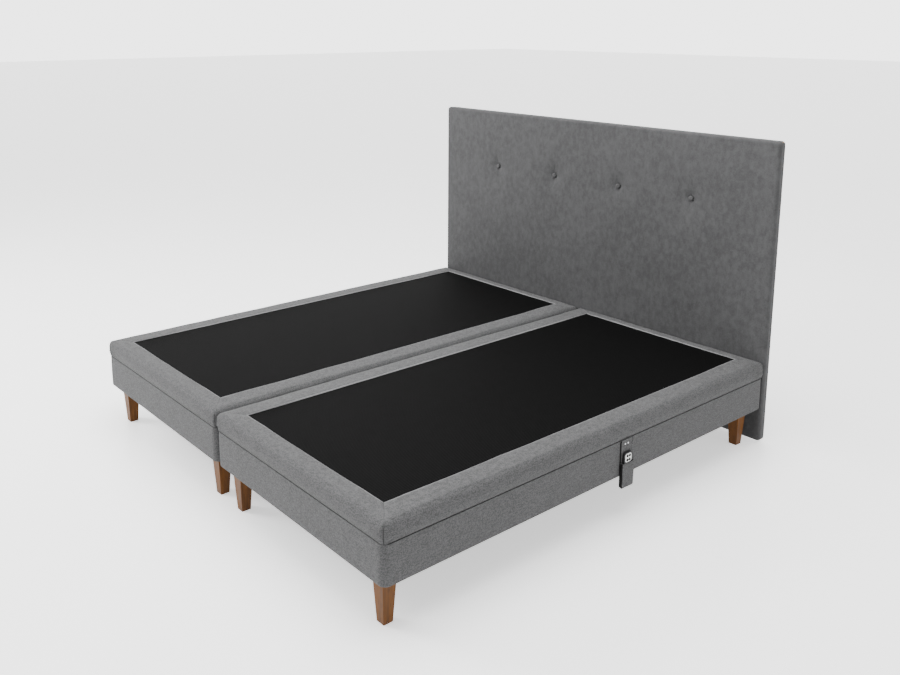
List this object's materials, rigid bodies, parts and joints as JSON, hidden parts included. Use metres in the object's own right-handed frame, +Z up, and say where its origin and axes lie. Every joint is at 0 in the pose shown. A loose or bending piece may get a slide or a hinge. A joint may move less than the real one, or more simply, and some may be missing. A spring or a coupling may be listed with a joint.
{
  "type": "adjustable bed base",
  "caption": "Split adjustable bed base: side-by-side upholstered boxes with folding padded decks, wooden legs, a buttoned headboard and a handset in a side pouch.",
  "frame": {"origin": "on the floor, under the middle of the whole bed", "axes": "+X to the right seen from the foot end, where the pouch hangs; +Y from the foot towards the headboard; +Z up"},
  "size_m": [2.0286, 2.042, 1.292],
  "materials": {
    "grey_fabric": "woven melange upholstery",
    "deck_mesh": "ribbed non-slip mesh",
    "headboard_fabric": "soft mottled upholstery",
    "seam_thread": "dark thread and piping",
    "black_cloth": "thin non-woven cloth",
    "leg_wood": "stained, satin lacquer",
    "frame_wood": "raw planed softwood and plywood",
    "black_steel": "black powder coat",
    "zinc_steel": "zinc plated",
    "motor_steel": "satin black",
    "black_plastic": "fine texture",
    "white_plastic": "semi-gloss",
    "key_rubber": "matt"
  },
  "bodies": {
    "base": {"left_side_rails": "frame_wood", "left_end_rails": "frame_wood", "left_box_cover": "grey_fabric", "left_chassis": "black_steel", "left_drive_housing": "black_plastic", "left_drive_motors": "motor_steel", "left_control_box": "black_plastic", "left_seat_panel": "frame_wood", "left_seat_pad": "grey_fabric", "right_side_rails": "frame_wood", "right_end_rails": "frame_wood", "right_box_cover": "grey_fabric", "right_chassis": "black_steel", "right_drive_housing": "black_plastic", "right_drive_motors": "motor_steel", "right_control_box": "black_plastic", "right_seat_panel": "frame_wood", "right_seat_pad": "grey_fabric", "legs": "leg_wood", "leg_studs": "zinc_steel", "corner_blocks": "frame_wood", "dust_cloths": "black_cloth", "headboard_pad": "headboard_fabric", "headboard_board": "frame_wood", "headboard_buttons": "headboard_fabric", "headboard_hangers": "black_steel", "headboard_bolts": "zinc_steel", "pouch_strap": "grey_fabric", "pouch_pocket": "grey_fabric", "pouch_rivets": "zinc_steel"},
    "left_back": {"left_back_frame": "black_steel", "left_back_panel": "frame_wood", "left_back_pad": "grey_fabric"},
    "left_thigh": {"left_thigh_frame": "black_steel", "left_thigh_panel": "frame_wood", "left_thigh_pad": "grey_fabric"},
    "left_calf": {"left_calf_fittings": "zinc_steel", "left_calf_panel": "frame_wood", "left_calf_pad": "grey_fabric"},
    "left_calf_links": {"left_calf_links": "zinc_steel"},
    "left_back_push_rod": {"left_back_push_rod": "black_plastic"},
    "left_leg_push_rod": {"left_leg_push_rod": "black_plastic"},
    "right_back": {"right_back_frame": "black_steel", "right_back_panel": "frame_wood", "right_back_pad": "grey_fabric"},
    "right_thigh": {"right_thigh_frame": "black_steel", "right_thigh_panel": "frame_wood", "right_thigh_pad": "grey_fabric"},
    "right_calf": {"right_calf_fittings": "zinc_steel", "right_calf_panel": "frame_wood", "right_calf_pad": "grey_fabric"},
    "right_calf_links": {"right_calf_links": "zinc_steel"},
    "right_back_push_rod": {"right_back_push_rod": "black_plastic"},
    "right_leg_push_rod": {"right_leg_push_rod": "black_plastic"},
    "remote": {"remote_case": "black_plastic", "remote_face": "white_plastic"},
    "key_back_up": {"key_back_up": "key_rubber"},
    "key_legs_up": {"key_legs_up": "key_rubber"},
    "key_back_down": {"key_back_down": "key_rubber"},
    "key_legs_down": {"key_legs_down": "key_rubber"}
  },
  "joints": [
    {"name": "left_back_hinge", "type": "hinge", "parent": "base", "child": "left_back", "pos_m": [-0.506, 0.219, 0.309], "axis": [1, 0, 0], "range_deg": [0, 60]},
    {"name": "left_thigh_hinge", "type": "hinge", "parent": "base", "child": "left_thigh", "pos_m": [-0.506, -0.021, 0.309], "axis": [-1, 0, 0], "range_deg": [0, 30]},
    {"name": "left_knee_hinge", "type": "hinge", "parent": "left_thigh", "child": "left_calf", "pos_m": [-0.506, -0.421, 0.297], "axis": [-1, 0, 0], "range_deg": [-45.01, 0]},
    {"name": "left_calf_link_pivot", "type": "hinge", "parent": "base", "child": "left_calf_links", "pos_m": [-0.506, -0.3998, 0.29272], "axis": [-1, 0, 0], "range_deg": [0, 42.49]},
    {"name": "left_back_rod_slide", "type": "slide", "parent": "base", "child": "left_back_push_rod", "axis": [0, 1, 0], "range_m": [0, 0.0801]},
    {"name": "left_leg_rod_slide", "type": "slide", "parent": "base", "child": "left_leg_push_rod", "axis": [0, -1, 0], "range_m": [0, 0.04151]},
    {"name": "right_back_hinge", "type": "hinge", "parent": "base", "child": "right_back", "pos_m": [0.506, 0.219, 0.309], "axis": [1, 0, 0], "range_deg": [0, 60]},
    {"name": "right_thigh_hinge", "type": "hinge", "parent": "base", "child": "right_thigh", "pos_m": [0.506, -0.021, 0.309], "axis": [-1, 0, 0], "range_deg": [0, 30]},
    {"name": "right_knee_hinge", "type": "hinge", "parent": "right_thigh", "child": "right_calf", "pos_m": [0.506, -0.421, 0.297], "axis": [-1, 0, 0], "range_deg": [-45.01, 0]},
    {"name": "right_calf_link_pivot", "type": "hinge", "parent": "base", "child": "right_calf_links", "pos_m": [0.506, -0.3998, 0.29272], "axis": [-1, 0, 0], "range_deg": [0, 42.49]},
    {"name": "right_back_rod_slide", "type": "slide", "parent": "base", "child": "right_back_push_rod", "axis": [0, 1, 0], "range_m": [0, 0.0801]},
    {"name": "right_leg_rod_slide", "type": "slide", "parent": "base", "child": "right_leg_push_rod", "axis": [0, -1, 0], "range_m": [0, 0.04151]},
    {"name": "remote_lift", "type": "slide", "parent": "base", "child": "remote", "axis": [0, 0, 1], "range_m": [0, 0.1]},
    {"name": "key_back_up_press", "type": "slide", "parent": "remote", "child": "key_back_up", "axis": [-1, 0, 0], "range_m": [0, 0.001], "stiffness_N_per_m": 400, "springref_m": -0.0008},
    {"name": "key_legs_up_press", "type": "slide", "parent": "remote", "child": "key_legs_up", "axis": [-1, 0, 0], "range_m": [0, 0.001], "stiffness_N_per_m": 400, "springref_m": -0.0008},
    {"name": "key_back_down_press", "type": "slide", "parent": "remote", "child": "key_back_down", "axis": [-1, 0, 0], "range_m": [0, 0.001], "stiffness_N_per_m": 400, "springref_m": -0.0008},
    {"name": "key_legs_down_press", "type": "slide", "parent": "remote", "child": "key_legs_down", "axis": [-1, 0, 0], "range_m": [0, 0.001], "stiffness_N_per_m": 400, "springref_m": -0.0008}
  ],
  "couplings": [
    {"joint": "left_knee_hinge", "follows": "left_thigh_hinge", "ratio": -1.5},
    {"joint": "left_calf_link_pivot", "follows": "left_thigh_hinge", "ratio": 1.4159},
    {"joint": "left_back_rod_slide", "follows": "left_back_hinge", "m_per_rad": 0.076394},
    {"joint": "left_leg_rod_slide", "follows": "left_thigh_hinge", "m_per_rad": 0.079089},
    {"joint": "right_knee_hinge", "follows": "right_thigh_hinge", "ratio": -1.5},
    {"joint": "right_calf_link_pivot", "follows": "right_thigh_hinge", "ratio": 1.4159},
    {"joint": "right_back_rod_slide", "follows": "right_back_hinge", "m_per_rad": 0.076394},
    {"joint": "right_leg_rod_slide", "follows": "right_thigh_hinge", "m_per_rad": 0.079089}
  ]
}
